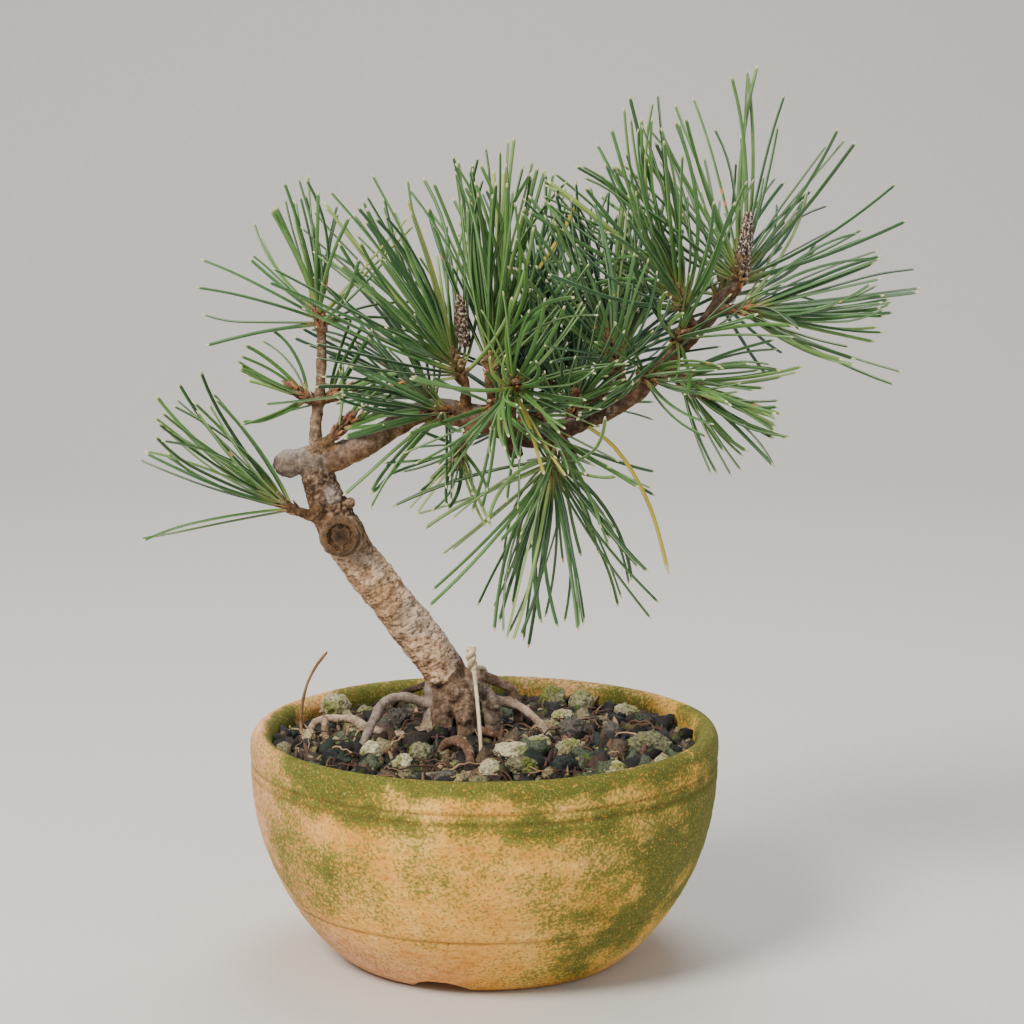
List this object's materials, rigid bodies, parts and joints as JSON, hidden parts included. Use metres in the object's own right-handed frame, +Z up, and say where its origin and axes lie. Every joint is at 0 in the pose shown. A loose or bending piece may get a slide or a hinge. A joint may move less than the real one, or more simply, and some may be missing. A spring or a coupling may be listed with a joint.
{
  "type": "bonsai tree in a pot",
  "caption": "Small leaning pine bonsai with long needle tufts and exposed surface roots, growing in pumice-topped soil in a round terracotta bowl.",
  "frame": {"origin": "on the table, under the middle of the whole object's box; the pot's axis stands 9.8 mm towards -X from it", "axes": "+Z up along the tree's height, +X towards the long branch's tip, -Y towards the side the tree is shown from"},
  "size_m": [0.246, 0.15, 0.2807],
  "materials": {
    "terracotta": "unglazed, matt, with green algae",
    "potting_soil": "dark crumbly soil",
    "pumice": "matt, pitted, mossy",
    "lava": "matt, pitted",
    "pine_bark": "rough flaking bark",
    "pine_needles": "waxy green needle, satin",
    "bud_scales": "scaly brown bud with pale resin",
    "raffia": "matt dry fibre",
    "dry_stalk": "dry stalk",
    "screen_plastic": "moulded mesh"
  },
  "bodies": {
    "root": {"anchor_tie": "raffia", "bud_centre": "bud_scales", "bud_right": "bud_scales", "drain_screen": "screen_plastic", "dry_stem": "dry_stalk", "grain_lava_01": "lava", "grain_lava_02": "lava", "grain_lava_03": "lava", "grain_lava_04": "lava", "grain_lava_05": "lava", "grain_lava_06": "lava", "grain_lava_07": "lava", "grain_lava_08": "lava", "grain_pumice_01": "pumice", "grain_pumice_02": "pumice", "grain_pumice_03": "pumice", "grain_pumice_04": "pumice", "grain_pumice_05": "pumice", "grain_pumice_06": "pumice", "grain_pumice_07": "pumice", "grain_pumice_08": "pumice", "grain_pumice_09": "pumice", "grain_pumice_10": "pumice", "grain_pumice_11": "pumice", "grain_pumice_12": "pumice", "grain_pumice_13": "pumice", "grain_pumice_14": "pumice", "grain_pumice_15": "pumice", "grain_pumice_16": "pumice", "grain_pumice_17": "pumice", "needles_back_left": "pine_needles", "needles_back_right": "pine_needles", "needles_branch_top": "pine_needles", "needles_centre": "pine_needles", "needles_centre_left": "pine_needles", "needles_centre_low": "pine_needles", "needles_front": "pine_needles", "needles_hanging": "pine_needles", "needles_leader_left": "pine_needles", "needles_leader_right": "pine_needles", "needles_leader_tip": "pine_needles", "needles_low_left": "pine_needles", "needles_right_back": "pine_needles", "needles_right_left": "pine_needles", "needles_right_low": "pine_needles", "needles_right_side": "pine_needles", "needles_right_tip": "pine_needles", "needles_side": "pine_needles", "pot": "terracotta", "soil": "potting_soil", "tree_wood": "pine_bark"}
  },
  "joints": []
}
